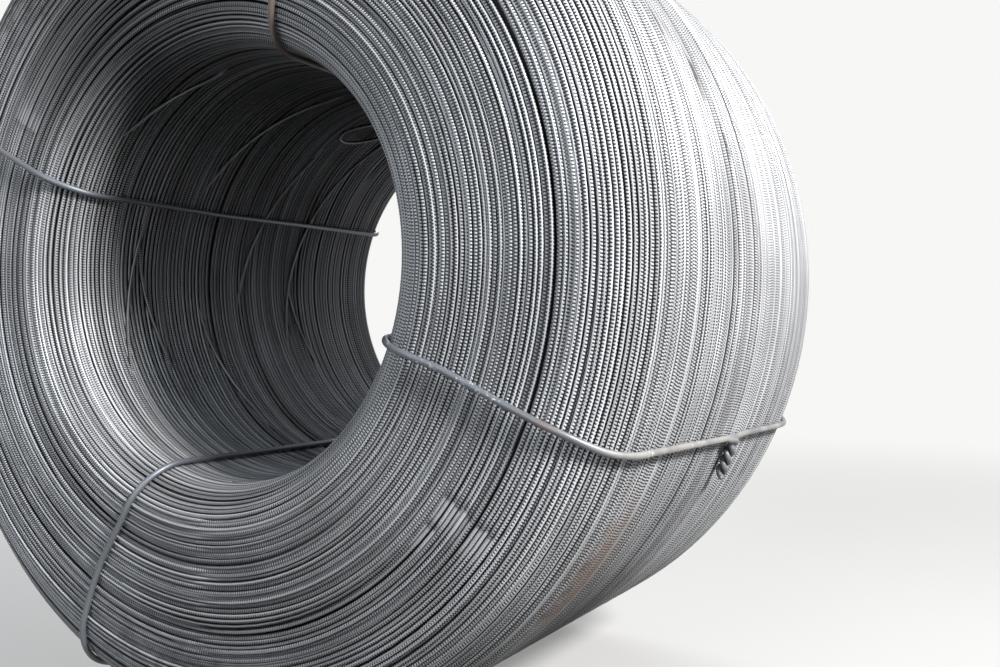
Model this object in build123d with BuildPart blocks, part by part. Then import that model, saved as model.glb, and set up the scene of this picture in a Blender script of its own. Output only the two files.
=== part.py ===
from build123d import *
import os
from math import cos, radians, sin

# Coil of ribbed reinforcing wire, lying on its round side.
# X runs across the coil, Y along its axis with the front end at -Y, Z up from the floor.

# The winding, in mm
outer_diameter = 970.0
bore_diameter = 456.0
coil_width = 610.0
outer_corner_radius = 70.0
bore_corner_radius = 52.0
corner_flats = 4

# The gaps between turns that stand open on the ends
turn_pitch = 5.3
turns_between_gaps = 6
gap_width = 5.0
gap_depth = 4.5

# The tie wires: the angle of each round the coil, clockwise from the top as seen from the front
tie_angles = {"tie_right": 111.0, "tie_bottom": 202.0, "tie_left": 293.5, "tie_top": 23.0}
tie_diameter = 6.5
tie_clearance = 0.3
tie_sides = 6

# The twisted ends of the right tie, on the outer wall. The others are hidden, and closed plainly.
twisted_tie = "tie_right"
twist_from_front = 325.0
twist_length = 44.0
twist_pitch = 28.0
strand_overlap = 0.6

outer_radius = outer_diameter / 2
bore_radius = bore_diameter / 2
half_width = coil_width / 2
tie_radius = tie_diameter / 2
stand_off = tie_clearance + tie_radius
coil_axis = Axis((0, 0, outer_radius), (0, 1, 0))


# The plane through the axis at one angle round the coil, with x outwards and y along the axis
def radial_plane(angle):
    outwards = (sin(radians(angle)), 0, cos(radians(angle)))
    across = (-cos(radians(angle)), 0, sin(radians(angle)))
    return Plane(origin=(0, 0, outer_radius), x_dir=outwards, z_dir=across)


# A corner of the winding, which steps round its radius in flats as the layers end
def corner(middle_x, middle_y, radius, start_angle):
    angles = [radians(start_angle + 90 * i / corner_flats) for i in range(corner_flats + 1)]
    return [(middle_x + radius * cos(a), middle_y + radius * sin(a)) for a in angles]


# The coil is one turned solid, with gaps between its turns cut into both ends
face_from = bore_radius + bore_corner_radius
face_to = outer_radius - outer_corner_radius
gap_step = turn_pitch * turns_between_gaps
gap_count = int((face_to - face_from) / gap_step)
first_gap = (face_from + face_to - (gap_count - 1) * gap_step) / 2
with BuildPart() as coil:
    with BuildSketch(radial_plane(90)):
        with BuildLine():
            Polyline(
                *corner(face_from, bore_corner_radius - half_width, bore_corner_radius, 180),
                *corner(face_to, outer_corner_radius - half_width, outer_corner_radius, 270),
                *corner(face_to, half_width - outer_corner_radius, outer_corner_radius, 0),
                *corner(face_from, half_width - bore_corner_radius, bore_corner_radius, 90),
                close=True,
            )
        make_face()
        for i in range(gap_count):
            for side in (-1, 1):
                with Locations((first_gap + i * gap_step, side * half_width)):
                    Polygon(
                        (-gap_width / 2, 0),
                        (gap_width / 2, 0),
                        (0, -side * gap_depth),
                        align=None,
                        mode=Mode.SUBTRACT,
                    )
    revolve(axis=coil_axis)
coil.part.label = "coil"

# A tie goes once round the winding through the bore, close on it
top = radial_plane(0)
inner = bore_radius - stand_off
outer = outer_radius + stand_off
end = half_width + stand_off
with BuildPart() as tie:
    with BuildLine(top) as loop:
        FilletPolyline(
            (inner, -end),
            (outer, -end),
            (outer, end),
            (inner, end),
            radius=[
                bore_corner_radius + stand_off,
                outer_corner_radius + stand_off,
                outer_corner_radius + stand_off,
                bore_corner_radius + stand_off,
            ],
            close=True,
        )
    with BuildSketch(Plane(origin=loop.line @ 0, z_dir=loop.line % 0)):
        RegularPolygon(tie_radius, tie_sides)
    sweep()

# One strand of the twist
with BuildPart() as strand:
    with BuildLine() as strand_line:
        Helix(pitch=twist_pitch, height=twist_length, radius=tie_radius - strand_overlap / 2)
    with BuildSketch(Plane(origin=strand_line.line @ 0, z_dir=strand_line.line % 0)):
        RegularPolygon(tie_radius, tie_sides)
    sweep(is_frenet=True)

# The two ends are twisted together and lie along the turns, on the outside of the loop
twist_radius = outer_radius + tie_clearance + tie_diameter
twist_start = top.from_local_coords((twist_radius, twist_from_front - half_width, tie_radius))
twist_place = Plane(origin=twist_start, x_dir=top.x_dir, z_dir=-top.z_dir).location
with BuildPart() as tie_with_twist:
    add(tie.part)
    add(twist_place * strand.part)
    add(twist_place * strand.part.rotate(Axis.Z, 180))

os.makedirs("parts", exist_ok=True)
export_step(coil.part, "parts/coil.step")
for name, angle in tie_angles.items():
    wire = tie_with_twist if name == twisted_tie else tie
    placed = wire.part.rotate(coil_axis, angle)
    placed.label = name
    export_step(placed, f"parts/{name}.step")
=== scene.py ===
import math

import bpy
import numpy as np
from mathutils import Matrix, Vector


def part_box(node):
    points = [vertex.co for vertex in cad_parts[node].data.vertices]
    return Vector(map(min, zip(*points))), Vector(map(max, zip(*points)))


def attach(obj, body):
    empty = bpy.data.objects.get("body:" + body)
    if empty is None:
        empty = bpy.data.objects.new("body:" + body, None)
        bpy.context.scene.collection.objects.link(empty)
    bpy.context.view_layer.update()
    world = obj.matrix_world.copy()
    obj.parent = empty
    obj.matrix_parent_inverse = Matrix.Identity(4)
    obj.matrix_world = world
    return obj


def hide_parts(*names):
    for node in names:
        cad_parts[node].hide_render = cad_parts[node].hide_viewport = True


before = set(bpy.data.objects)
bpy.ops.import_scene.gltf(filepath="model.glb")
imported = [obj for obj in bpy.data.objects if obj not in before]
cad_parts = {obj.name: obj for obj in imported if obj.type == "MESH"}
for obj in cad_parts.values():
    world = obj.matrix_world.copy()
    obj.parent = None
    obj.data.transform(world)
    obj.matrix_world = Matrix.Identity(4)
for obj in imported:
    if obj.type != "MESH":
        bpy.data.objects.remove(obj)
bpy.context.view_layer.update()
print("frame loaded")

# everything is in metres: X to the right as seen from the coil's front end, Y along its axis, Z up
coilLow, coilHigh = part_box("coil")
outerRadius = (coilHigh.x - coilLow.x) / 2
halfWidth = (coilHigh.y - coilLow.y) / 2
axisHeight = (coilHigh.z + coilLow.z) / 2

winding = {
    "boreRadius": 0.228,
    "boreCorner": 0.052,       # radius of the corners at the bore
    "outerCorner": 0.070,      # radius of the corners at the outside
    "wireDiameter": 0.0045,
    "ribSpacing": 0.0030,
    "borePitch": 0.0059,       # mean spacing of the turns on the bore's wall
    "endPitch": 0.0049,        # on the two ends
    "wallPitch": 0.0052,       # and on the outer wall
    "roll": 0.13,              # how far the wire is turned about its own line, in whole turns of it
    "rollSlow": 0.17,          # how much that changes slowly
    "rollQuick": 0.05,         # and quickly
    "slowChange": 2,           # random values on each turn, for gaps, slips and tones
    "quickChange": 3,          # and for spacings and the quick part of the roll
    "crossover": 0.04,         # part of a turn in which the wire goes down beside its neighbour
}


def smoothStep(share):
    # 0 to 1 with level ends: 3 s^2 - 2 s^3
    return share * share * (3 - 2 * share)


def averaged(points, rounds):
    # each point but the first and last becomes half itself and a quarter of each neighbour, in rounds
    for _ in range(rounds):
        points[1:-1] = (points[:-2] + 2 * points[1:-1] + points[2:]) / 4
    return points


def smoothNoise(generator, count, positions):
    # random values at whole numbers 0..count, joined by a cosine ramp, read at the given positions;
    # the last value is the first, so that what goes once round closes
    knots = generator.uniform(-1.0, 1.0, count + 2)
    knots[count] = knots[0]
    low = np.clip(np.floor(positions).astype(int), 0, count)
    part = positions - low
    ramp = (1 - np.cos(np.pi * part)) / 2
    return knots[low] * (1 - ramp) + knots[low + 1] * ramp


def sectionOutline(samplesPerCorner=40):
    # the section is a rectangle of radius by width with a quarter circle at each corner:
    # a corner's points are middle + corner radius * (cos, sin), and straight runs join them
    inner, outer = winding["boreRadius"], outerRadius
    qIn, qOut = winding["boreCorner"], winding["outerCorner"]
    corners = (
        (inner + qIn, -halfWidth + qIn, qIn, 180),
        (outer - qOut, -halfWidth + qOut, qOut, 270),
        (outer - qOut, halfWidth - qOut, qOut, 0),
        (inner + qIn, halfWidth - qIn, qIn, 90),
    )
    rows = []
    for middleR, middleY, radius, start in corners:
        turned = np.radians(start + np.linspace(0, 90, samplesPerCorner))
        cosine, sine = np.cos(turned), np.sin(turned)
        rows.append(np.stack([middleR + radius * cosine, middleY + radius * sine, cosine, sine], 1))
    rows.append(rows[0][:1])
    points = np.concatenate(rows)
    steps = np.hypot(*np.diff(points[:, :2], axis=0).T)
    along = np.concatenate([[0.0], np.cumsum(steps)])
    return along, points


outlineAlong, outlinePoints = sectionOutline()
outlineLength = outlineAlong[-1]


def onSection(along):
    # radius, place on the axis and outward normal of the section at a length along its outline
    along = np.mod(along, outlineLength)
    values = [np.interp(along, outlineAlong, outlinePoints[:, c]) for c in range(4)]
    size = np.hypot(values[2], values[3])
    return values[0], values[1], values[2] / size, values[3] / size


def turnsAlong(samples=4000):
    # how many turns lie between the start of the outline and each place on it: the integral of
    # 1 / pitch, where the pitch goes by the way the section faces (in, out, or along the axis)
    along = np.linspace(0, outlineLength, samples)
    facing = onSection(along)[2]
    inwards, outwards = np.clip(-facing, 0, 1) ** 2, np.clip(facing, 0, 1) ** 2
    pitch = winding["endPitch"] + (winding["borePitch"] - winding["endPitch"]) * inwards
    pitch += (winding["wallPitch"] - winding["endPitch"]) * outwards
    steps = np.diff(along) * (1 / pitch[1:] + 1 / pitch[:-1]) / 2
    return along, np.concatenate([[0.0], np.cumsum(steps)])


alongTable, turnTable = turnsAlong()


def meshFromGrid(name, points, uv, closedAlong, **values):
    # points is a grid [station, side, xyz]; sides close on themselves, stations too if closedAlong,
    # and otherwise each end is closed by one flat face. uv is [cell, cell side, corner, 2].
    # Each of the values is one number for a station, kept as an attribute of its name.
    stations, sides = points.shape[:2]
    cells = stations if closedAlong else stations - 1
    here = np.arange(cells)[:, None] * sides + np.arange(sides)[None, :]
    after = ((np.arange(cells) + 1) % stations)[:, None] * sides + np.arange(sides)[None, :]
    quads = np.stack([here, np.roll(here, -1, 1), np.roll(after, -1, 1), after], -1).reshape(-1, 4)
    loops, starts, totals = quads.ravel(), np.arange(len(quads)) * 4, np.full(len(quads), 4)
    if not closedAlong:
        first, last = np.arange(sides)[::-1], (stations - 1) * sides + np.arange(sides)
        starts = np.append(starts, [len(loops), len(loops) + sides])
        totals = np.append(totals, [sides, sides])
        loops = np.concatenate([loops, first, last])
    mesh = bpy.data.meshes.new(name)
    mesh.vertices.add(stations * sides)
    mesh.vertices.foreach_set("co", points.reshape(-1).astype(np.float32))
    mesh.loops.add(len(loops))
    mesh.loops.foreach_set("vertex_index", loops.astype(np.int32))
    mesh.polygons.add(len(starts))
    mesh.polygons.foreach_set("loop_start", starts.astype(np.int32))
    mesh.polygons.foreach_set("loop_total", totals.astype(np.int32))
    mesh.polygons.foreach_set("use_smooth", np.ones(len(starts), bool))
    uvLayer = mesh.uv_layers.new(name="wireLength")
    flat = np.zeros((len(loops), 2), np.float32)
    flat[: len(quads) * 4] = uv.reshape(-1, 2)
    uvLayer.data.foreach_set("uv", flat.ravel())
    for key, column in values.items():
        attribute = mesh.attributes.new(key, "FLOAT", "POINT")
        attribute.data.foreach_set("value", np.repeat(column, sides).astype(np.float32))
    mesh.update()
    mesh.validate()
    piece = bpy.data.objects.new(name, mesh)
    bpy.context.scene.collection.objects.link(piece)
    return piece


def tubeUv(ribsFrom, ribsTo, sides):
    # U counts ribs along the wire and V goes once round it, from the side that faces outwards
    cells = len(ribsFrom)
    uv = np.zeros((cells, sides, 4, 2))
    around = np.arange(sides) / sides
    uv[:, :, 0, 0] = uv[:, :, 1, 0] = ribsFrom[:, None]
    uv[:, :, 2, 0] = uv[:, :, 3, 0] = ribsTo[:, None]
    uv[:, :, 0, 1] = uv[:, :, 3, 1] = around
    uv[:, :, 1, 1] = uv[:, :, 2, 1] = around + 1 / sides
    return uv


def roundTheAxis(radius, along, angle):
    # cylinder coordinates to places: angle 0 is the top, and it grows to the right
    across, up = radius * np.sin(angle), axisHeight + radius * np.cos(angle)
    return np.stack(np.broadcast_arrays(across, along, up), -1)


def awayFromAxis(angle):
    # the way out from the coil's axis at an angle: (sin, 0, cos)
    return np.stack([np.sin(angle), np.zeros(len(angle)), np.cos(angle)], -1)


# marks on the winding, of rust, grime and painted shade: place along the section from the front of
# the bore, angle round the coil in degrees, how far each reaches both ways, and how strong it is
stainsAndShade = {
    "rust": [
        {"along": 0.360, "angle": 127, "reach": (0.052, 13), "strength": 0.85},
        {"along": 0.440, "angle": 62, "reach": (0.020, 6), "strength": 0.45},
        {"along": 0.640, "angle": 205, "reach": (0.060, 14), "strength": 0.70},
        {"along": 0.560, "angle": 300, "reach": (0.040, 12), "strength": 0.50},
    ],
    "grimeAndShade": [
        {"along": 0.418, "angle": 63, "reach": (0.010, 4), "strength": 0.9},
        {"along": 0.475, "angle": 68, "reach": (0.012, 3.5), "strength": 1.0},
        {"along": 0.512, "angle": 76, "reach": (0.009, 3), "strength": 1.0},
        # painted shade: the next three darken the top left and bottom of the front end and the low outer
        # wall
        {"along": 0.235, "angle": 322, "reach": (0.060, 17), "strength": 0.75},
        {"along": 0.225, "angle": 186, "reach": (0.060, 26), "strength": 0.50},
        {"along": 0.340, "angle": 130, "reach": (0.030, 8), "strength": 0.5},
        {"along": 0.600, "angle": 330, "reach": (0.030, 9), "strength": 0.8},
    ],
    # painted shade: darker places at the top left and bottom of the front end, low and high on the outer
    # wall and in the bore; it also takes some shine off
    "dull": [
        {"along": 0.110, "angle": 332, "reach": (0.150, 32), "strength": 0.78},
        {"along": 0.150, "angle": 172, "reach": (0.110, 30), "strength": 0.46},
        {"along": 0.440, "angle": 146, "reach": (0.170, 25), "strength": 0.88},
        {"along": 0.440, "angle": 53, "reach": (0.100, 18), "strength": 0.42},
        {"along": 1.380, "angle": 270, "reach": (0.230, 400), "strength": 0.42},
        {"along": 1.480, "angle": 350, "reach": (0.200, 50), "strength": 0.45},
    ],
}


def stainAndShadeValues(kind, along, angle):
    # the sum of bell curves round the marks of one kind
    total = np.zeros(len(along))
    for mark in stainsAndShade[kind]:
        across = np.mod(along - mark["along"] + outlineLength / 2, outlineLength) - outlineLength / 2
        turned = np.mod(np.degrees(angle) - mark["angle"] + 180, 360) - 180
        reachAlong, reachTurned = mark["reach"]
        total += mark["strength"] * np.exp(-((across / reachAlong) ** 2) - (turned / reachTurned) ** 2)
    return np.clip(total, 0, 1)


outerLayer = {
    "looser": 1.0,             # spacing of the turns over the winding's own
    "uneven": 0.16,            # how much one spacing differs from the next
    "gapOpen": 1.05,           # how far the widest gaps open, in turns
    "gapShare": 0.30,
    "segments": 132,           # steps round the coil
    "sides": 8,
    "pieces": 4,
    "sinkShallow": 0.0009,     # how far a turn may lie below the outline
    "sinkDeep": 0.0030,        # how far the turns that have slipped down lie below the rest
    "deepShare": 0.20,
    "toneShift": 0.0,
    "seed": 11,
}

deepLayer = {
    "looser": 1.05,
    "uneven": 0.15,
    "gapOpen": 0.3,
    "gapShare": 0.3,
    "segments": 84,
    "sides": 4,
    "pieces": 2,
    "sinkShallow": 0.0048,
    "sinkDeep": 0.0058,
    "deepShare": 0.3,
    # painted shade: the deep turns get a lower tone, so they are darker, as in shade
    "toneShift": -0.8,
    "seed": 12,
}


def topShare(values, share):
    # 0 in most places, rising to 1 where values that run from -1 to 1 come into their top share
    return np.clip((values / 2 + 0.5 - (1 - share)) / share, 0, 1)


def turnPlaces(layer, turns, noise):
    # station t, counted in turns, lies one spacing along the section from station t - 1, so its place
    # is the running sum of the spacings down each column of turns, stretched to go exactly once round.
    # A spacing is 1 + uneven * noise, and more where a gap opens.
    spacing = 1 + layer["uneven"] * noise(winding["quickChange"])
    spacing += layer["gapOpen"] * topShare(noise(winding["slowChange"]), layer["gapShare"]) ** 2
    columns = spacing.reshape(turns, layer["segments"])
    columns = columns * (turns / columns.sum(0))[None, :]
    share = np.arange(layer["segments"]) / layer["segments"]
    counted = np.cumsum(columns, 0) - (columns[0] * (1 - share))[None, :]
    return np.interp(counted.ravel() * turnTable[-1] / turns, turnTable, alongTable)


def sinkDepths(layer, along, turn, noise):
    # most turns lie almost flush, and some have slipped down between their neighbours for a while
    deep = topShare(noise(winding["slowChange"]), layer["deepShare"])
    shallow = noise(winding["slowChange"]) / 2 + 0.5
    sink = layer["sinkShallow"] * shallow + (layer["sinkDeep"] - layer["sinkShallow"]) * deep
    # where two turns are closer than a diameter, every second one lies lower, by the depth at which
    # their centres are a diameter apart: the root of diameter^2 - gap^2
    gap = np.mod(along - np.roll(along, layer["segments"]), outlineLength)
    lower = np.sqrt(np.clip(winding["wireDiameter"] ** 2 - gap**2, 0, None))
    lower = np.maximum(lower, np.roll(lower, -layer["segments"]))
    second = np.clip((0.5 - np.abs(np.mod(turn, 2) - 1.5)) / winding["crossover"] + 0.5, 0, 1)
    return sink + lower * second


def wireRings(section, angle, sink, sides):
    # a circle at each station: r cos along the section's normal and r sin across it, lowered by the
    # wire's radius and the sink, so that a turn that doesn't sink touches the outline from inside
    radius, place, normalR, normalY = (column[:, None] for column in section)
    wire = winding["wireDiameter"] / 2
    around = 2 * np.pi * np.arange(sides) / sides
    outward = wire * np.cos(around)[None, :] - wire - sink[:, None]
    sideways = -wire * np.sin(around)[None, :]
    ringR = radius + outward * normalR - sideways * normalY
    ringY = place + outward * normalY + sideways * normalR
    return roundTheAxis(ringR, ringY, angle[:, None])


def windLayer(layer, label):
    # one continuous wire, wound turn beside turn all the way round the section, in an even number of
    # turns, because every second one may lie lower
    generator = np.random.default_rng(layer["seed"])
    turns = int(turnTable[-1] / layer["looser"] / 2) * 2
    segments = layer["segments"]
    stations = turns * segments
    turn = np.arange(stations) / segments

    def noise(changes):
        # a value from -1 to 1 at each station, that changes so many times on each turn
        return smoothNoise(generator, turns * changes, turn * changes)

    along = turnPlaces(layer, turns, noise)
    sink = sinkDepths(layer, along, turn, noise)
    angle = 2 * np.pi * turn + np.pi
    # the roll brings the wire's smooth strips and its ribs to the front
    roll = winding["roll"] + winding["rollSlow"] * noise(1)
    roll += winding["rollQuick"] * noise(winding["quickChange"])
    tone = noise(winding["slowChange"]) + layer["toneShift"]
    marks = {kind: stainAndShadeValues(kind, along, angle) for kind in stainsAndShade}
    # the last station is the first one again
    along = np.append(along, along[0] + outlineLength)
    angle = np.append(angle, angle[0] + 2 * np.pi * turns)
    sink = np.append(sink, sink[0])
    values = {name: np.append(v, v[0]) for name, v in {"tone": tone, "roll": roll, **marks}.items()}
    section = onSection(along)
    grid = wireRings(section, angle, sink, layer["sides"])
    # ribs are counted along the wire, a whole number on each turn, from a random start
    meanRadius = section[0][:-1].reshape(turns, segments).mean(1)
    ribs = np.round(2 * np.pi * meanRadius / winding["ribSpacing"])
    whole, part = np.arange(stations) // segments, np.arange(stations) % segments / segments
    offset = np.mod(np.cumsum(generator.uniform(0, 1, turns)), 1)
    ribsFrom = part * ribs[whole] + offset[whole]
    ribsTo = (part + 1 / segments) * ribs[whole] + offset[whole]
    uv = tubeUv(ribsFrom, ribsTo, layer["sides"])
    cuts = [stations * n // layer["pieces"] for n in range(layer["pieces"] + 1)]
    pieces = []
    for n, (start, stop) in enumerate(zip(cuts, cuts[1:])):
        span = slice(start, stop + 1)
        ofSpan = {name: v[span] for name, v in values.items()}
        pieces.append(meshFromGrid(f"{label}_{n + 1}", grid[span], uv[start:stop], False, **ofSpan))
    print(label, "wound:", turns, "turns")
    return pieces


coreSettings = {"depth": 0.0105, "around": 96, "sectionPoints": 72}


def buildCore():
    # a ring with the coil's section, taken in by a depth along its normals, under the two layers of wire,
    # that shows as painted shadow between the turns
    along = np.linspace(outlineLength, 0, coreSettings["sectionPoints"], endpoint=False)
    radius, place, normalR, normalY = onSection(along)
    radius = radius - coreSettings["depth"] * normalR
    place = place - coreSettings["depth"] * normalY
    angle = np.linspace(0, 2 * np.pi, coreSettings["around"], endpoint=False)
    grid = roundTheAxis(radius[None, :], place[None, :], angle[:, None])
    uv = tubeUv(np.arange(len(angle)), np.arange(len(angle)) + 1, len(along))
    return meshFromGrid("windingCore", grid, uv, True)


def sweepTube(name, path, normals, diameter, sides, closed, uvStep, **values):
    # a circle carried along a path: each ring is path + r * (cos * normal + sin * binormal)
    ahead = np.roll(path, -1, 0) - np.roll(path, 1, 0)
    if not closed:
        ahead[0], ahead[-1] = path[1] - path[0], path[-1] - path[-2]
    ahead /= np.linalg.norm(ahead, axis=1, keepdims=True)
    normals = normals - ahead * (normals * ahead).sum(1, keepdims=True)
    normals /= np.linalg.norm(normals, axis=1, keepdims=True)
    binormals = np.cross(ahead, normals)
    around = (2 * np.pi * np.arange(sides) / sides)[None, :, None]
    ring = np.cos(around) * normals[:, None, :] + np.sin(around) * binormals[:, None, :]
    grid = path[:, None, :] + diameter / 2 * ring
    steps = np.linalg.norm(np.diff(path, axis=0, append=path[:1]), axis=1)
    length = np.concatenate([[0], np.cumsum(steps)]) / uvStep
    cells = len(path) if closed else len(path) - 1
    uv = tubeUv(length[:cells], length[1 : cells + 1], sides)
    return meshFromGrid(name, grid, uv, closed, **values)


tieSettings = {
    "diameter": 0.0065,
    "clearance": 0.0003,
    "sides": 14,
    "points": 420,
    "smoothing": 6,
    "uvStep": 0.01,
    "dustRadii": (0.450, 0.480),       # dust lies on a tie from one of these radii to the other
    # the two ends twisted together, in metres, or in wire diameters where that is said
    "twist": {
        "length": 0.037,
        "turns": 1.65,
        "leadIn": 0.020,               # where an end leaves the loop's line, beside the twist
        "below": 1.15,                 # diameters from the loop down to the start of the twist
        "height": (0.52, 0.64),        # diameters from the loop's line out to its start and its tip
        "swing": 0.006,                # how far its tip has swung to the back
        "splay": 0.35,                 # how far its tip opens
        "over": {-1: 1.02, 1: 0.12},   # diameters by which each end passes over the other
        # the bend's two inner points: diameters down and to the end's own side, and share of "over"
        "pulls": ((0.0, 1.2, 1.15), (-0.25, -1.05, 1.0)),
        "points": 84,
        "bendPoints": 25,
        "smoothing": 3,
        "sides": 12,
        "dust": 0.6,
    },
    # for each tie: its angle round the coil, where its twist is, how rusty it is, and how it strays
    # from its angle, as pairs of place along the section and degrees
    "ties": {
        "tie_right": {
            "angle": 111.0, "twistFromFront": 0.325, "rust": 0.0,
            "strays": ((0.045, -1.3), (0.114, -1.6), (0.18, -0.7), (0.24, -0.3), (0.28, 0.3), (0.33, 0.1),
                       (0.483, 0.7), (0.59, 1.1), (0.63, 0.9), (0.777, 1.3), (1.05, 0.6), (1.3, -0.6)),
        },
        "tie_bottom": {
            "angle": 202.0, "twistFromFront": 0.420, "rust": 0.3,
            "strays": ((0.025, -2.6), (0.045, -1.9), (0.088, -0.7), (0.144, 1.5), (0.182, 1.7), (0.222, 1.4),
                       (0.25, 0.9), (0.45, 0.3), (0.67, 0.6), (0.9, -0.5), (1.401, -3.0), (1.53, -3.0)),
        },
        "tie_left": {
            "angle": 293.5, "twistFromFront": 0.360, "rust": 0.0,
            "strays": ((0.007, -0.7), (0.074, 0.3), (0.155, 0.8), (0.25, 0.4), (0.42, -0.5), (0.6, 0.3),
                       (0.95, 0.5), (1.286, -0.4), (1.437, -1.1), (1.559, -0.8)),
        },
        "tie_top": {
            "angle": 23.0, "twistFromFront": 0.440, "rust": 1.0,
            "strays": ((0.018, -1.9), (0.045, -0.8), (0.066, -0.4), (0.2, 0.2), (0.4, 0.5), (0.69, -0.2),
                       (1.0, -0.4), (1.3, -1.4), (1.498, -2.8), (1.585, -2.6)),
        },
    },
}

tieLift = tieSettings["clearance"] + tieSettings["diameter"] / 2


def bezier(points, count):
    # (1 - t)^3 a + 3 t (1 - t)^2 b + 3 t^2 (1 - t) c + t^3 d, without its last point
    a, b, c, d = points
    t = np.linspace(0, 1, count + 1)[:-1, None]
    return (1 - t) ** 3 * a + 3 * t * (1 - t) ** 2 * b + 3 * t**2 * (1 - t) * c + t**3 * d


def carriedNormals(path, first):
    # each normal is the one before it, less its part along the path, so that no ring turns against
    # the one before it
    ahead = np.gradient(path, axis=0)
    ahead /= np.linalg.norm(ahead, axis=1, keepdims=True)
    carried = [np.cross(ahead[0], np.cross(first, ahead[0]))]
    for step in ahead[1:]:
        moved = carried[-1] - step * (carried[-1] @ step)
        carried.append(moved / np.linalg.norm(moved))
    return np.array(carried)


def twistStrand(name, startAngle, startY, side):
    # one end of the tie: a Bezier curve from the loop's line, bent over to go down along the turns,
    # then a helix round the line between the two strands. Local places are down, along, height.
    twist, wire = tieSettings["twist"], tieSettings["diameter"]
    share = np.linspace(0, 1, twist["points"])
    turned = 2 * np.pi * twist["turns"] * share - side * np.pi / 2
    spread = wire / 2 * (1.0 + twist["splay"] * share**8)
    low, high = twist["height"]
    helix = np.stack([
        wire * twist["below"] + twist["length"] * share,
        twist["swing"] * share**2 + spread * np.sin(turned),
        tieLift + wire * (low + (high - low) * share) + spread * np.cos(turned),
    ], 1)
    begin = np.array([0.0, side * twist["leadIn"], tieLift])
    over = wire * twist["over"][side]
    pulls = [np.array([wire * down, side * wire * beside, tieLift + over * rise])
             for down, beside, rise in twist["pulls"]]
    bend = bezier([begin, *pulls, helix[0]], twist["bendPoints"])
    down, across, height = averaged(np.concatenate([bend, helix]), twist["smoothing"]).T
    angle = startAngle + down / outerRadius
    path = roundTheAxis(outerRadius + height, startY + across, angle)
    normals = carriedNormals(path, awayFromAxis(angle)[0])
    count = len(path)
    return sweepTube(name, path, normals, wire, twist["sides"], False, tieSettings["uvStep"],
                     tone=np.full(count, twist["dust"]), rust=np.zeros(count))


def buildTie(name, tie):
    # the loop follows the section at its clearance, and strays a few millimetres round the coil:
    # the given strays joined by straight lines and rounded by averaging neighbours all the way round
    count = tieSettings["points"]
    along = np.linspace(0, outlineLength, count, endpoint=False)
    places, offsets = np.array(tie["strays"]).T
    stray = np.interp(along, places, offsets, period=outlineLength)
    for _ in range(tieSettings["smoothing"]):
        stray = (np.roll(stray, 1) + 2 * stray + np.roll(stray, -1)) / 4
    angle = np.radians(tie["angle"] + stray)
    radius, place, normalR, normalY = onSection(along)
    path = roundTheAxis(radius + tieLift * normalR, place + tieLift * normalY, angle)
    normals = path - roundTheAxis(radius, place, angle)
    clean, dusty = tieSettings["dustRadii"]
    dust = np.clip((radius - clean) / (dusty - clean), 0, 1)
    loop = sweepTube(name + "_wire", path, normals, tieSettings["diameter"], tieSettings["sides"], True,
                     tieSettings["uvStep"], tone=dust, rust=np.full(count, tie["rust"]))
    # the twist sits on the outer wall, which starts one corner radius from the front end
    wallStart = outlineAlong[np.argmax(outlinePoints[:, 0] > outerRadius - 1e-6)]
    twistAlong = wallStart + tie["twistFromFront"] - winding["outerCorner"]
    twistAngle = angle[np.argmin(np.abs(along - twistAlong))]
    startY = -halfWidth + tie["twistFromFront"]
    return [loop] + [
        twistStrand(f"{name}_end_{n + 1}", twistAngle, startY, side) for n, side in enumerate((-1, 1))
    ]


looseTurns = {
    "sides": 8,
    "dive": 0.0065,            # how deep the ends go in between the other turns
    "further": 0.16,           # how much further each end goes than its angle, as a share of the run
    "ends": 0.26,              # share of the run in which each end comes up
    "points": 140,
    "curlPoints": 200,
    "curlSmoothing": 60,
    "tone": 0.1,
    # painted shade on the loose turns in the bore
    "dull": 0.3,
    "roll": 0.5,               # how far the wire turns about its line from end to end
    # turns that have sprung loose and lie across the others on the bore's wall: places from the front
    # and angles round the coil at the start and the end, and how far the middle bows off the wall
    "runs": {
        "strayTurn_1": {"fromFront": (0.086, 0.127), "angles": (238, 292), "lift": 0.0025},
        "strayTurn_2": {"fromFront": (0.149, 0.118), "angles": (238, 282), "lift": 0.0025},
        "strayTurn_3": {"fromFront": (0.366, 0.462), "angles": (240, 344), "lift": 0.0028},
        "strayTurn_4": {"fromFront": (0.200, 0.272), "angles": (298, 356), "lift": 0.0030},
        "strayTurn_5": {"fromFront": (0.288, 0.364), "angles": (262, 326), "lift": 0.0024},
        "strayTurn_6": {"fromFront": (0.052, 0.098), "angles": (312, 346), "lift": 0.0028},
        "strayTurn_7": {"fromFront": (0.388, 0.424), "angles": (272, 236), "lift": 0.0022},
        "strayTurn_8": {"fromFront": (0.250, 0.216), "angles": (214, 262), "lift": 0.0022},
    },
    # a loop that stands off the wall, deep in the bore: from the front, angle, height off the wall
    "curl": ((0.455, 366, -0.004), (0.425, 357, 0.002), (0.385, 350, 0.008), (0.350, 344, 0.013),
             (0.331, 339, 0.017), (0.334, 335.4, 0.019), (0.352, 334.0, 0.019), (0.380, 335.0, 0.016),
             (0.412, 338.5, 0.010), (0.440, 343, 0.004), (0.462, 350, -0.001), (0.478, 358, -0.005)),
}


def wallWire(name, fromFront, degrees, lift):
    # a wire at a height off the bore's wall, given at each station
    diameter = winding["wireDiameter"]
    angle = np.radians(degrees)
    radius = winding["boreRadius"] + diameter / 2 - lift
    path = roundTheAxis(radius, -halfWidth + fromFront, angle)
    count = len(path)
    return sweepTube(name, path, -awayFromAxis(angle), diameter, looseTurns["sides"], False,
                     winding["ribSpacing"], tone=np.full(count, looseTurns["tone"]),
                     roll=np.linspace(0, looseTurns["roll"], count), dull=np.full(count, looseTurns["dull"]))


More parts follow.
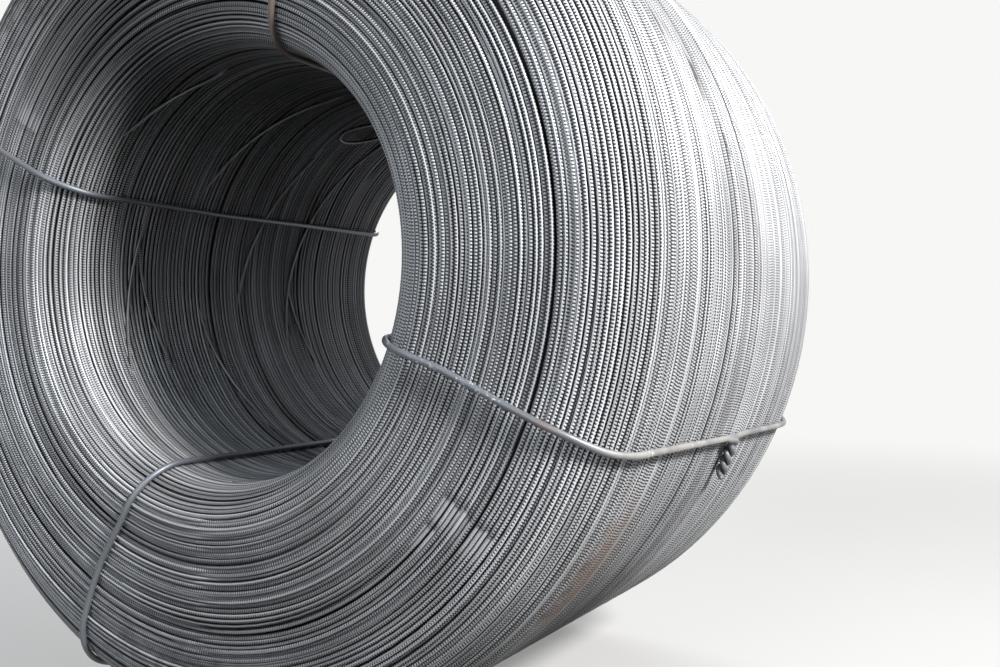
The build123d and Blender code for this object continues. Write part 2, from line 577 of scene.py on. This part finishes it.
def buildStray(name, run):
    # it leaves one turn's line along it, crosses over and comes into another's the same way, and its
    # ends dive under the wall: both the place and the height are smooth steps
    share = np.linspace(0, 1, looseTurns["points"])
    start, stop = run["fromFront"]
    low, high = run["angles"]
    further = looseTurns["further"] * (high - low)
    low, high = low - further, high + further
    fromFront = start + (stop - start) * smoothStep(share)
    up = smoothStep(np.clip(np.minimum(share, 1 - share) / looseTurns["ends"], 0, 1))
    lift = run["lift"] * up - looseTurns["dive"] * (1 - up)
    return wallWire(name, fromFront, low + (high - low) * share, lift)


def buildCurl():
    # a smooth curve through the given places: straight joins, rounded by repeated averaging
    places = np.array(looseTurns["curl"]).T
    knots = np.arange(places.shape[1])
    share = np.linspace(0, knots[-1], looseTurns["curlPoints"])
    columns = np.stack([np.interp(share, knots, column) for column in places], 1)
    return wallWire("curledTurn", *averaged(columns, looseTurns["curlSmoothing"]).T)


# materials


def setOrLink(tree, socket, value):
    # a number or a colour is written into the socket, and another node's socket is joined to it
    if isinstance(value, tuple):
        socket.default_value = (*value, 1)
    elif isinstance(value, (int, float)):
        socket.default_value = value
    else:
        tree.links.new(value, socket)


def mathNode(tree, operation, first, second=None):
    # the result of one operation on one or two numbers or sockets
    node = tree.nodes.new("ShaderNodeMath")
    node.operation = operation
    setOrLink(tree, node.inputs[0], first)
    if second is not None:
        setOrLink(tree, node.inputs[1], second)
    return node.outputs[0]


def times(tree, first, second):
    return mathNode(tree, "MULTIPLY", first, second)


def plus(tree, first, second):
    return mathNode(tree, "ADD", first, second)


def minus(tree, first, second):
    return mathNode(tree, "SUBTRACT", first, second)


def between(tree, value, low, high):
    # low where the value is 0, high where it is 1
    return plus(tree, times(tree, value, high - low), low)


def lessened(tree, value, amount):
    # 1 - amount * value
    return minus(tree, 1.0, times(tree, value, amount))


def rampNode(tree, value, low, high, smooth=True):
    # 0 at low, 1 at high, eased between
    node = tree.nodes.new("ShaderNodeMapRange")
    node.interpolation_type = "SMOOTHSTEP" if smooth else "LINEAR"
    node.inputs["From Min"].default_value = low
    node.inputs["From Max"].default_value = high
    tree.links.new(value, node.inputs["Value"])
    return node.outputs["Result"]


def mixColour(tree, factor, first, second, blend="MIX"):
    # the first colour where the factor is 0, the second where it is 1; the node takes them at 6 and 7
    node = tree.nodes.new("ShaderNodeMix")
    node.data_type = "RGBA"
    node.blend_type = blend
    for index, value in ((0, factor), (6, first), (7, second)):
        setOrLink(tree, node.inputs[index], value)
    return node.outputs[2]


def noiseNode(tree, place, scale, detail=3.0, roughness=0.55):
    # soft noise round 0.5, with that many waves to the metre
    node = tree.nodes.new("ShaderNodeTexNoise")
    node.inputs["Scale"].default_value = scale
    node.inputs["Detail"].default_value = detail
    node.inputs["Roughness"].default_value = roughness
    tree.links.new(place, node.inputs["Vector"])
    return node.outputs["Fac"]


def attributeNode(tree, name):
    # a value kept with the mesh, 0 where the mesh has none of that name
    node = tree.nodes.new("ShaderNodeAttribute")
    node.attribute_name = name
    return node.outputs["Fac"]


def splitNode(tree, vector):
    # the X, Y and Z of a vector
    node = tree.nodes.new("ShaderNodeSeparateXYZ")
    tree.links.new(vector, node.inputs[0])
    return node.outputs


def bumpOn(tree, shader, height, strength, distance):
    # the shader's normal leans by the slope of the height
    node = tree.nodes.new("ShaderNodeBump")
    node.inputs["Strength"].default_value = strength
    node.inputs["Distance"].default_value = distance
    tree.links.new(height, node.inputs["Height"])
    tree.links.new(node.outputs["Normal"], shader.inputs["Normal"])


def newMaterial(name):
    # a material, its nodes, its shader and the place on the object that its patterns go by
    material = bpy.data.materials.new(name)
    material.use_nodes = True
    tree = material.node_tree
    place = tree.nodes.new("ShaderNodeTexCoord").outputs["Object"]
    return material, tree, tree.nodes["Principled BSDF"], place


rubLook = {
    "uneven": 0.5,             # degrees by which a rub's start differs from turn to turn
    "sets": 0.5,               # degrees in which it sets in
    "fades": 0.45,             # share of its length after which it starts to fade
    "edge": 0.004,             # how softly it ends towards the bore and the outside
    "depth": (0.012, 0.006),   # it shows from this far behind the front end, in full from here
    "tones": (-0.65, -0.25),   # turns of a lower tone lie too deep to be rubbed
    "smudge": 0.55,            # how dark the smudge is where a rub begins
    "smudgeComes": (-1.6, -0.2),       # degrees from the rub's start between which it comes
    "smudgeGoes": (0.7, 0.1),          # and goes
    # places on the front end that are rubbed bright: the angle where each starts and how far it goes
    # in degrees, and the radii between which it lies
    "places": (
        {"angle": 125.4, "length": 5.2, "radii": (0.364, 0.428), "strength": 1.0},
        {"angle": 130.4, "length": 5.0, "radii": (0.363, 0.382), "strength": 0.9},
        {"angle": 203.5, "length": 4.5, "radii": (0.385, 0.412), "strength": 0.7},
        {"angle": 301.0, "length": 5.0, "radii": (0.300, 0.345), "strength": 0.6},
    ),
}


def rubbedPlaces(tree, place, tone):
    # each rub is a band of angles round the coil's axis, between two radii, on the front end only.
    # It starts sharply and fades, and how far it goes differs from turn to turn.
    split = splitNode(tree, place)
    up = minus(tree, split["Z"], axisHeight)
    angle = times(tree, mathNode(tree, "ARCTAN2", split["X"], up), 180 / math.pi)
    angle = mathNode(tree, "FLOORED_MODULO", angle, 360.0)
    squares = plus(tree, times(tree, up, up), times(tree, split["X"], split["X"]))
    radius = mathNode(tree, "SQRT", squares)
    uneven = times(tree, tone, rubLook["uneven"])
    edge = rubLook["edge"]
    total, smudge = 0.0, 0.0
    for rub in rubLook["places"]:
        inner, outer = rub["radii"]
        past = plus(tree, minus(tree, angle, rub["angle"]), uneven)
        starts = rampNode(tree, past, 0.0, rubLook["sets"])
        fades = rampNode(tree, past, rub["length"], rub["length"] * rubLook["fades"])
        within = times(tree, rampNode(tree, radius, inner, inner + edge),
                       rampNode(tree, radius, outer, outer - edge))
        within = times(tree, within, rub["strength"])
        comes = rampNode(tree, past, *rubLook["smudgeComes"])
        goes = rampNode(tree, past, *rubLook["smudgeGoes"])
        total = mathNode(tree, "MAXIMUM", times(tree, times(tree, starts, fades), within), total)
        smudge = mathNode(tree, "MAXIMUM", times(tree, times(tree, comes, goes), within), smudge)
    shows, full = rubLook["depth"]
    front = rampNode(tree, split["Y"], -halfWidth + shows, -halfWidth + full)
    touched = times(tree, front, rampNode(tree, tone, *rubLook["tones"]))
    return times(tree, total, touched), times(tree, times(tree, smudge, touched), rubLook["smudge"])


steelLook = {
    "land": (0.60, 0.612, 0.635),
    # the valleys between the ribs are dark with dirt and with painted shade
    "notch": (0.048, 0.050, 0.056),
    "rust": (0.15, 0.092, 0.058),
    "grimeAndShade": (0.045, 0.043, 0.042),
    "rubbed": (0.66, 0.67, 0.69),
    "ribHeight": 0.00034,
    "rows": 3,                 # rows of ribs round the wire, with a smooth strip between each two
    "lean": 0.24,              # how far a rib leans along the wire, in rib spacings
    "valley": (0.32, 0.16),    # where the valley's side is, from its middle, in rib spacings
    "rowSide": (0.43, 0.27),   # where a row's side is, from its middle, as a share of its strip
    "rubFlattens": 0.85,       # how much of the ribs' relief a rub takes off
    "flank": (0.20, 0.84),     # cosines of the angle from the front of the wire to its sides, which are painted in shade
    "flankShade": (0.10, 1.0),
    "turnShade": (0.56, 1.18),         # brightness of the darkest and the brightest turn
    "streakNoise": (9.0, 4.0),         # scale and detail
    "streakEdge": (0.36, 0.66),
    "streakShade": (0.82, 1.04),
    "dullShade": 0.85,         # how much darker the painted shade makes a place
    "dirtNoise": (55.0, 5.0, 0.7),     # scale, detail and roughness
    "rustEdge": (0.25, 0.95),
    "rustCover": 0.62,
    "grimeAndShadeBroken": 1.4,        # how much the grime and its painted shade are broken up
    "grimeAndShadeEdge": (0.20, 0.95),
    "grimeAndShadeCover": 0.78,
    "roughScale": 38.0,
    "rough": (0.34, 0.54),
    "rubbedSmoother": 0.16,
    "grimeAndShadeRougher": 0.20,
    "grimeAndShadeDulls": 0.85,        # how much of the steel's shine the grime and its painted shade take off
    "metallic": 0.22,
    "specular": 0.28,
}


def ribLands(tree, alongWire, roundWire, rubbed):
    # 1 on the ribs and on the smooth strips between their rows, 0 in the valleys between two ribs.
    # U counts the ribs, V goes round the wire, and the wire's own roll is added to V. A rib leans
    # along its row, and each row starts a part of a rib after the one before.
    rows = steelLook["rows"]
    row = times(tree, plus(tree, roundWire, attributeNode(tree, "roll")), rows)
    row = plus(tree, row, 0.5)
    across = minus(tree, mathNode(tree, "FRACT", row), 0.5)
    count = plus(tree, alongWire, times(tree, across, steelLook["lean"]))
    count = plus(tree, count, times(tree, mathNode(tree, "FLOOR", row), 1 / rows))
    distance = mathNode(tree, "ABSOLUTE", minus(tree, mathNode(tree, "FRACT", count), 0.5))
    valley = rampNode(tree, distance, *steelLook["valley"])
    inRow = rampNode(tree, mathNode(tree, "ABSOLUTE", across), *steelLook["rowSide"])
    valley = times(tree, times(tree, valley, inRow), lessened(tree, rubbed, steelLook["rubFlattens"]))
    return minus(tree, 1.0, valley)


def turnShade(tree, place, tone, roundWire, bright):
    # a different tone on each turn, painted shade on the wire's sides and where the attribute gives it, and
    # soft streaks, all multiplied
    # painted shade: the wire's sides are darker, as in the shade between the turns
    crown = mathNode(tree, "COSINE", times(tree, roundWire, 2 * math.pi))
    flank = between(tree, rampNode(tree, crown, *steelLook["flank"]), *steelLook["flankShade"])
    shade = between(tree, rampNode(tree, tone, -1.0, 1.0, False), *steelLook["turnShade"])
    shade = times(tree, times(tree, shade, flank), bright)
    streak = rampNode(tree, noiseNode(tree, place, *steelLook["streakNoise"]), *steelLook["streakEdge"])
    shade = times(tree, shade, between(tree, streak, *steelLook["streakShade"]))
    colour = tree.nodes.new("ShaderNodeCombineColor")
    for socket in ("Red", "Green", "Blue"):
        tree.links.new(shade, colour.inputs[socket])
    return colour.outputs["Color"]


def ribbedWire():
    # ribs are bumps and colour laid along the wire, with bright lands and valleys painted dark, as dirt
    # and painted shade, and with the rust, grime and painted shade that the attributes give, broken up by
    # noise
    material, tree, shader, place = newMaterial("ribbedWire")
    uv = tree.nodes.new("ShaderNodeUVMap")
    uv.uv_map = "wireLength"
    wire = splitNode(tree, uv.outputs["UV"])
    tone = attributeNode(tree, "tone")
    rubbed, smudge = rubbedPlaces(tree, place, tone)
    land = ribLands(tree, wire["X"], wire["Y"], rubbed)
    bumpOn(tree, shader, land, 1.0, steelLook["ribHeight"])
    colour = mixColour(tree, land, steelLook["notch"], steelLook["land"])
    colour = mixColour(tree, rubbed, colour, steelLook["rubbed"])
    # painted shade: the attribute read here darkens the colour and lessens the shine
    bright = lessened(tree, attributeNode(tree, "dull"), steelLook["dullShade"])
    colour = mixColour(tree, 1.0, colour, turnShade(tree, place, tone, wire["Y"], bright), "MULTIPLY")
    broken = minus(tree, noiseNode(tree, place, *steelLook["dirtNoise"]), 0.5)
    rust = rampNode(tree, plus(tree, attributeNode(tree, "rust"), broken), *steelLook["rustEdge"])
    colour = mixColour(tree, times(tree, rust, steelLook["rustCover"]), colour, steelLook["rust"])
    grimeAndShade = plus(tree, attributeNode(tree, "grimeAndShade"), times(tree, broken, steelLook["grimeAndShadeBroken"]))
    grimeAndShade = mathNode(tree, "MAXIMUM", rampNode(tree, grimeAndShade, *steelLook["grimeAndShadeEdge"]), smudge)
    colour = mixColour(tree, times(tree, grimeAndShade, steelLook["grimeAndShadeCover"]), colour, steelLook["grimeAndShade"])
    tree.links.new(colour, shader.inputs["Base Color"])
    rough = between(tree, noiseNode(tree, place, steelLook["roughScale"]), *steelLook["rough"])
    rough = minus(tree, rough, times(tree, rubbed, steelLook["rubbedSmoother"]))
    rough = plus(tree, rough, times(tree, grimeAndShade, steelLook["grimeAndShadeRougher"]))
    tree.links.new(rough, shader.inputs["Roughness"])
    # grime and painted shade take the shine off the steel
    clean = times(tree, lessened(tree, grimeAndShade, steelLook["grimeAndShadeDulls"]), bright)
    tree.links.new(times(tree, clean, steelLook["metallic"]), shader.inputs["Metallic"])
    tree.links.new(times(tree, clean, steelLook["specular"]), shader.inputs["Specular IOR Level"])
    return material


tieLook = {
    "scale": (0.150, 0.163, 0.185),
    "dust": (0.34, 0.325, 0.305),
    "rust": (0.20, 0.12, 0.075),
    "chip": (0.62, 0.63, 0.64),
    "dustScale": 24.0,
    "dustEdge": (0.25, 0.60),
    "dustCover": 0.80,
    "rustScale": 9.0,
    "rustMore": 0.2,           # how much of the tie's own rust is added to the noise
    "rustEdge": (0.63, 0.80),
    "rustCover": 0.55,
    "patchNoise": (11.0, 2.0),         # the chips come in patches; scale and detail of their noise
    "patchEdge": (0.62, 0.68),
    "chipNoise": (240.0, 4.0, 0.7),    # scale, detail and roughness
    "chipEdge": (0.56, 0.60),
    "rough": 0.46,
    "chipSmoother": 0.16,
    "dustRougher": 0.22,
    "grainScale": 300.0,
    "grainHeight": 0.0002,
    "grainStrength": 0.5,
    "metallic": 0.45,
}


def tieSteel():
    # dark mill scale, with dust where the tone attribute is high, rust in patches and a few bright chips
    material, tree, shader, place = newMaterial("tieSteel")
    dust = rampNode(tree, noiseNode(tree, place, tieLook["dustScale"]), *tieLook["dustEdge"])
    dust = times(tree, attributeNode(tree, "tone"), dust)
    colour = mixColour(tree, times(tree, dust, tieLook["dustCover"]), tieLook["scale"], tieLook["dust"])
    rust = times(tree, attributeNode(tree, "rust"), tieLook["rustMore"])
    rust = plus(tree, noiseNode(tree, place, tieLook["rustScale"]), rust)
    rust = times(tree, rampNode(tree, rust, *tieLook["rustEdge"]), tieLook["rustCover"])
    colour = mixColour(tree, rust, colour, tieLook["rust"])
    patch = rampNode(tree, noiseNode(tree, place, *tieLook["patchNoise"]), *tieLook["patchEdge"])
    chip = rampNode(tree, noiseNode(tree, place, *tieLook["chipNoise"]), *tieLook["chipEdge"])
    chip = times(tree, patch, chip)
    colour = mixColour(tree, chip, colour, tieLook["chip"])
    tree.links.new(colour, shader.inputs["Base Color"])
    rough = minus(tree, tieLook["rough"], times(tree, chip, tieLook["chipSmoother"]))
    rough = plus(tree, rough, times(tree, dust, tieLook["dustRougher"]))
    tree.links.new(rough, shader.inputs["Roughness"])
    grain = noiseNode(tree, place, tieLook["grainScale"])
    bumpOn(tree, shader, grain, tieLook["grainStrength"], tieLook["grainHeight"])
    shader.inputs["Metallic"].default_value = tieLook["metallic"]
    return material


coreLook = {"dark": (0.02, 0.021, 0.024), "pale": (0.05, 0.05, 0.055), "scale": 30.0, "rough": 0.8}


def darkCore():
    # painted shadow: what shows between the turns is nearly black, a little uneven
    material, tree, shader, place = newMaterial("windingShadow")
    colour = mixColour(tree, noiseNode(tree, place, coreLook["scale"]), coreLook["dark"], coreLook["pale"])
    tree.links.new(colour, shader.inputs["Base Color"])
    shader.inputs["Roughness"].default_value = coreLook["rough"]
    return material


stageSettings = {
    "floorSize": 24.0,
    "floorColour": (0.42, 0.416, 0.41),
    "floorColourTwo": (0.45, 0.446, 0.44),
    "floorScale": 1.5,
    "floorRough": 0.9,
    "floorBounce": (0.05, 0.049, 0.048),    # what light thrown back up from the floor sees
    "floorShine": 0.30,
    "fade": (0.9, 3.4),        # distances between which the floor runs into the backdrop
    "skyColour": (0.93, 0.93, 0.92),
    "skyLight": (0.43, 0.51, 0.62),
    "skyStrength": 0.10,
}


def paleBackdropRays(tree):
    # 1 for what the camera sees, also in a reflection or through glass
    rays = tree.nodes.new("ShaderNodeLightPath")
    seen = mathNode(tree, "MAXIMUM", rays.outputs["Is Camera Ray"], rays.outputs["Is Glossy Ray"])
    return mathNode(tree, "MAXIMUM", seen, rays.outputs["Is Transmission Ray"])


def joinShaders(tree, factor, first, second):
    # the first shader where the factor is 0, the second where it is 1
    node = tree.nodes.new("ShaderNodeMixShader")
    for index, socket in enumerate((factor, first, second)):
        tree.links.new(socket, node.inputs[index])
    return node.outputs[0]


def paleFloor():
    # pale where it is seen, and dark for the light that it throws back up. Where it is seen it
    # shines a little, more with the distance, so that it runs into the backdrop without an edge.
    material, tree, shader, place = newMaterial("paleFloor")
    shade = noiseNode(tree, place, stageSettings["floorScale"])
    pale = mixColour(tree, shade, stageSettings["floorColour"], stageSettings["floorColourTwo"])
    seen = paleBackdropRays(tree)
    tree.links.new(mixColour(tree, seen, stageSettings["floorBounce"], pale), shader.inputs["Base Color"])
    shader.inputs["Roughness"].default_value = stageSettings["floorRough"]
    length = tree.nodes.new("ShaderNodeVectorMath")
    length.operation = "LENGTH"
    tree.links.new(place, length.inputs[0])
    fade = rampNode(tree, length.outputs["Value"], *stageSettings["fade"])
    fade = between(tree, fade, stageSettings["floorShine"], 1.0)
    glow = tree.nodes.new("ShaderNodeEmission")
    glow.inputs["Color"].default_value = (*stageSettings["skyColour"], 1)
    surface = joinShaders(tree, times(tree, fade, seen), shader.outputs[0], glow.outputs[0])
    tree.links.new(surface, tree.nodes["Material Output"].inputs["Surface"])
    return material


def layFloor():
    # a flat square that belongs to the stage and not to the part
    bpy.ops.mesh.primitive_plane_add(size=stageSettings["floorSize"], location=(0, 0, 0))
    floor = bpy.context.object
    floor.name = "floor"
    floor.data.materials.append(paleFloor())


def paleSky():
    # a dim blue light on everything, and a pale backdrop where it is seen
    world = bpy.context.scene.world or bpy.data.worlds.new("sky")
    bpy.context.scene.world = world
    world.use_nodes = True
    tree = world.node_tree
    tree.nodes.clear()
    lighting = tree.nodes.new("ShaderNodeBackground")
    lighting.inputs["Color"].default_value = (*stageSettings["skyLight"], 1)
    lighting.inputs["Strength"].default_value = stageSettings["skyStrength"]
    backdrop = tree.nodes.new("ShaderNodeBackground")
    backdrop.inputs["Color"].default_value = (*stageSettings["skyColour"], 1)
    surface = joinShaders(tree, paleBackdropRays(tree), lighting.outputs[0], backdrop.outputs[0])
    tree.links.new(surface, tree.nodes.new("ShaderNodeOutputWorld").inputs["Surface"])


lamps = {
    "keyRight": {"place": (3.3, -0.82, 2.65), "size": 0.8, "power": 385.0, "colour": (1.0, 0.988, 0.97)},
    "fillFront": {"place": (0.4, -3.7, 2.0), "size": 1.6, "power": 54.0, "colour": (0.84, 0.92, 1.0)},
    "backLeft": {"place": (-2.7, 2.5, 2.1), "size": 2.6, "power": 160.0, "colour": (0.95, 0.975, 1.0)},
    "top": {"place": (-0.4, -0.5, 3.3), "size": 2.0, "power": 3.0, "colour": (0.93, 0.96, 1.0)},
}


def hangLamps():
    # round lamps that all look at the middle of the coil
    coilMiddle = Vector((0, 0, axisHeight))
    for name, lamp in lamps.items():
        light = bpy.data.lights.new(name, "AREA")
        light.shape = "DISK"
        light.size = lamp["size"]
        light.energy = lamp["power"]
        light.color = lamp["colour"]
        holder = bpy.data.objects.new(name, light)
        holder.location = lamp["place"]
        holder.rotation_euler = (coilMiddle - holder.location).to_track_quat("-Z", "Y").to_euler()
        bpy.context.scene.collection.objects.link(holder)


cameraSettings = {
    "right": 0.7668,           # of the coil's axis
    "inFront": 0.7233,         # of its front end
    "below": 0.0794,           # its axis
    "look": (-0.4960, 0.8683, 0.0066),
    "lens": 35.92,
    "sensor": 36.0,
    "clipStart": 0.02,
}


def placeCamera():
    # the place, aim and lens that were worked out from the photo's outline
    camera = bpy.data.cameras.new("photoCamera")
    camera.lens = cameraSettings["lens"]
    camera.sensor_width = cameraSettings["sensor"]
    camera.clip_start = cameraSettings["clipStart"]
    holder = bpy.data.objects.new("photoCamera", camera)
    inFront, below = cameraSettings["inFront"], cameraSettings["below"]
    holder.location = (cameraSettings["right"], -halfWidth - inFront, axisHeight - below)
    holder.rotation_euler = Vector(cameraSettings["look"]).to_track_quat("-Z", "Y").to_euler()
    bpy.context.scene.collection.objects.link(holder)
    bpy.context.scene.camera = holder


def dress(pieces, material):
    # the pieces get their material and their slot, and stay with the part's root
    for piece in pieces:
        piece.data.materials.append(material)
        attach(piece, "root")


# build the coil
outerPieces = windLayer(outerLayer, "windingOuter")
deepPieces = windLayer(deepLayer, "windingDeep")
core = buildCore()
strays = [buildStray(name, run) for name, run in looseTurns["runs"].items()] + [buildCurl()]
dress(outerPieces + deepPieces + strays, ribbedWire())
dress([core], darkCore())
for piece in outerPieces + deepPieces + [core]:
    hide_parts("coil")
print("coil dressed")

# build the ties
tieMaterial = tieSteel()
for nodeName, tie in tieSettings["ties"].items():
    made = buildTie(nodeName, tie)
    dress(made, tieMaterial)
    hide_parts(nodeName)
print("ties dressed")

# stage, light and camera
layFloor()
paleSky()
hangLamps()
placeCamera()
bpy.context.scene.view_settings.view_transform = "Standard"
print("stage set")
